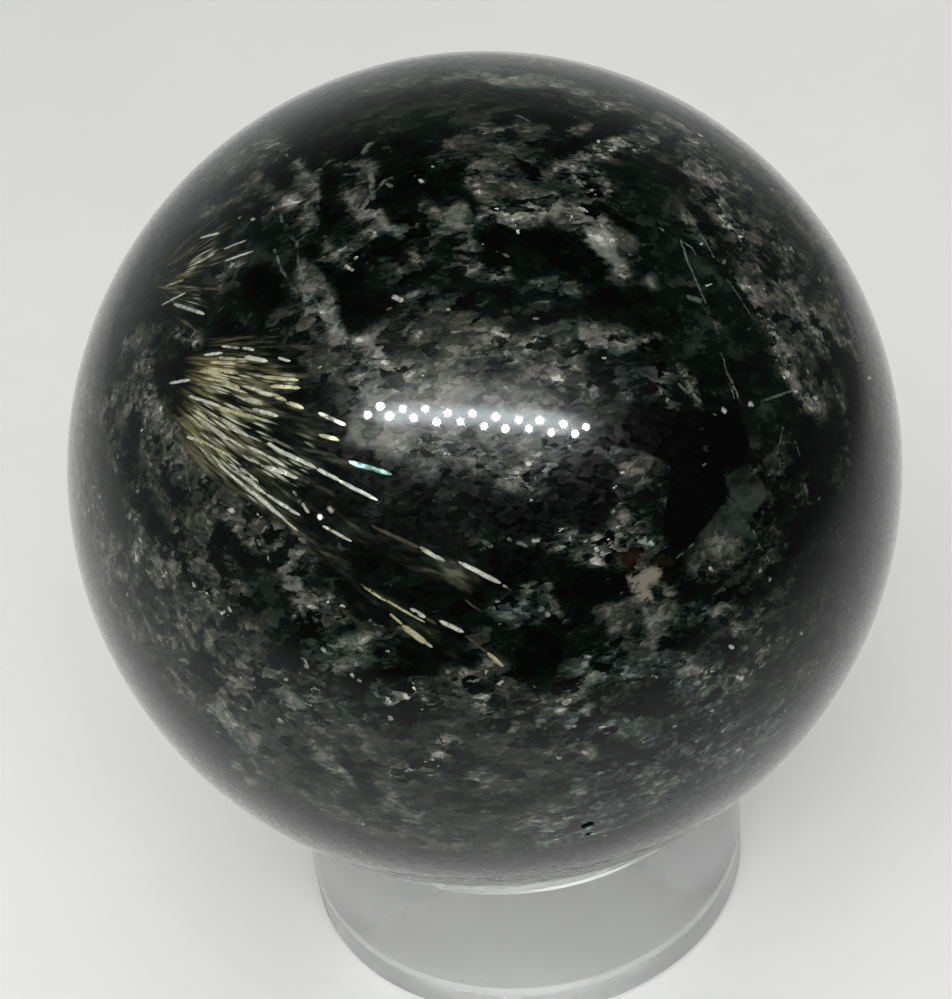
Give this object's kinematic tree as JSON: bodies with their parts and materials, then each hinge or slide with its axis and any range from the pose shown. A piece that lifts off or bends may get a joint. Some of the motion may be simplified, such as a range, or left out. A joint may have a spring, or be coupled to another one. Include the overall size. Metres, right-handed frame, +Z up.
{
  "type": "astrophyllite sphere",
  "caption": "Polished sphere of dark astrophyllite rock with bronze needle sprays, resting on a short clear ring stand.",
  "frame": {"origin": "middle of the ring stand's underside, on the surface it stands on, straight below the sphere's centre", "axes": "+Z up along the axis of the ring and the sphere; +Y away from the picture's camera; +X to its right"},
  "size_m": [0.06, 0.06, 0.0701],
  "materials": {
    "polished_stone": "polished",
    "clear_plastic": "clear, gloss"
  },
  "bodies": {
    "root": {"sphere": "polished_stone", "ring_stand": "clear_plastic"}
  },
  "joints": []
}
